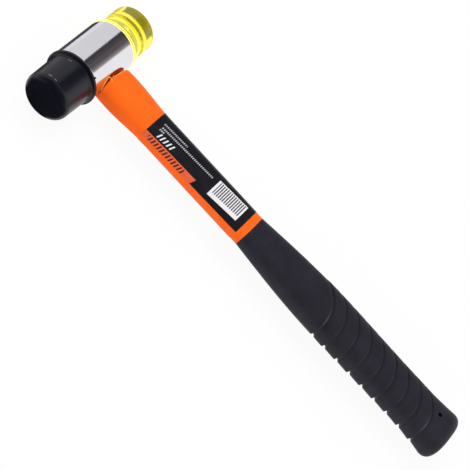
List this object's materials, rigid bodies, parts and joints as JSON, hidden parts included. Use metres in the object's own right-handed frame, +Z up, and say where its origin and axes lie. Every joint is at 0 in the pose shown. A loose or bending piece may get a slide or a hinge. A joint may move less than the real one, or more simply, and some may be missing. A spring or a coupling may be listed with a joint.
{
  "type": "soft face hammer",
  "caption": "Soft face hammer with a chromed barrel head, screw-in black rubber and yellow plastic faces, and a fibreglass-core handle in an orange jacket with a ribbed black grip.",
  "frame": {"origin": "on the surface that the hammer lies on, under the middle of its bounding box", "axes": "+X along the head axis towards the yellow plastic face, +Y along the handle towards the head, +Z up out of a cheek of the handle"},
  "size_m": [0.089, 0.3252, 0.0356],
  "materials": {
    "chrome": "bright chrome plate on steel",
    "steel": "plain turned steel",
    "epoxy": "cast resin",
    "fibreglass": "pultruded fibreglass",
    "orange_plastic": "moulded plastic with a satin skin",
    "grip_rubber": "matte moulded rubber",
    "face_rubber": "smooth hard rubber",
    "yellow_plastic": "clear yellow moulded plastic",
    "label": "printed plastic film"
  },
  "bodies": {
    "hammer": {"head_barrel": "chrome", "rubber_side_plug": "steel", "plastic_side_plug": "steel", "epoxy_potting": "epoxy", "handle_core": "fibreglass", "handle_jacket": "orange_plastic", "grip_sleeve": "grip_rubber", "label_film": "label"},
    "rubber_washer": {"rubber_face_washer": "steel"},
    "rubber_face": {"rubber_face": "face_rubber", "rubber_face_stud": "steel"},
    "plastic_washer": {"plastic_face_washer": "steel"},
    "plastic_face": {"plastic_face": "yellow_plastic", "plastic_face_stud": "steel"}
  },
  "joints": [
    {"name": "rubber_face_travel", "type": "slide", "parent": "hammer", "child": "rubber_washer", "axis": [-1, 0, 0], "range_m": [0, 0.009]},
    {"name": "rubber_face_turn", "type": "hinge", "parent": "rubber_washer", "child": "rubber_face", "pos_m": [-0.0175, 0.1448, 0.0178], "axis": [-1, 0, 0], "range_deg": [0, 2160]},
    {"name": "plastic_face_travel", "type": "slide", "parent": "hammer", "child": "plastic_washer", "axis": [1, 0, 0], "range_m": [0, 0.009]},
    {"name": "plastic_face_turn", "type": "hinge", "parent": "plastic_washer", "child": "plastic_face", "pos_m": [0.0205, 0.1448, 0.0178], "axis": [1, 0, 0], "range_deg": [0, 2160]}
  ],
  "couplings": [
    {"joint": "rubber_face_travel", "follows": "rubber_face_turn", "m_per_rad": 0.00023873},
    {"joint": "plastic_face_travel", "follows": "plastic_face_turn", "m_per_rad": 0.00023873}
  ]
}
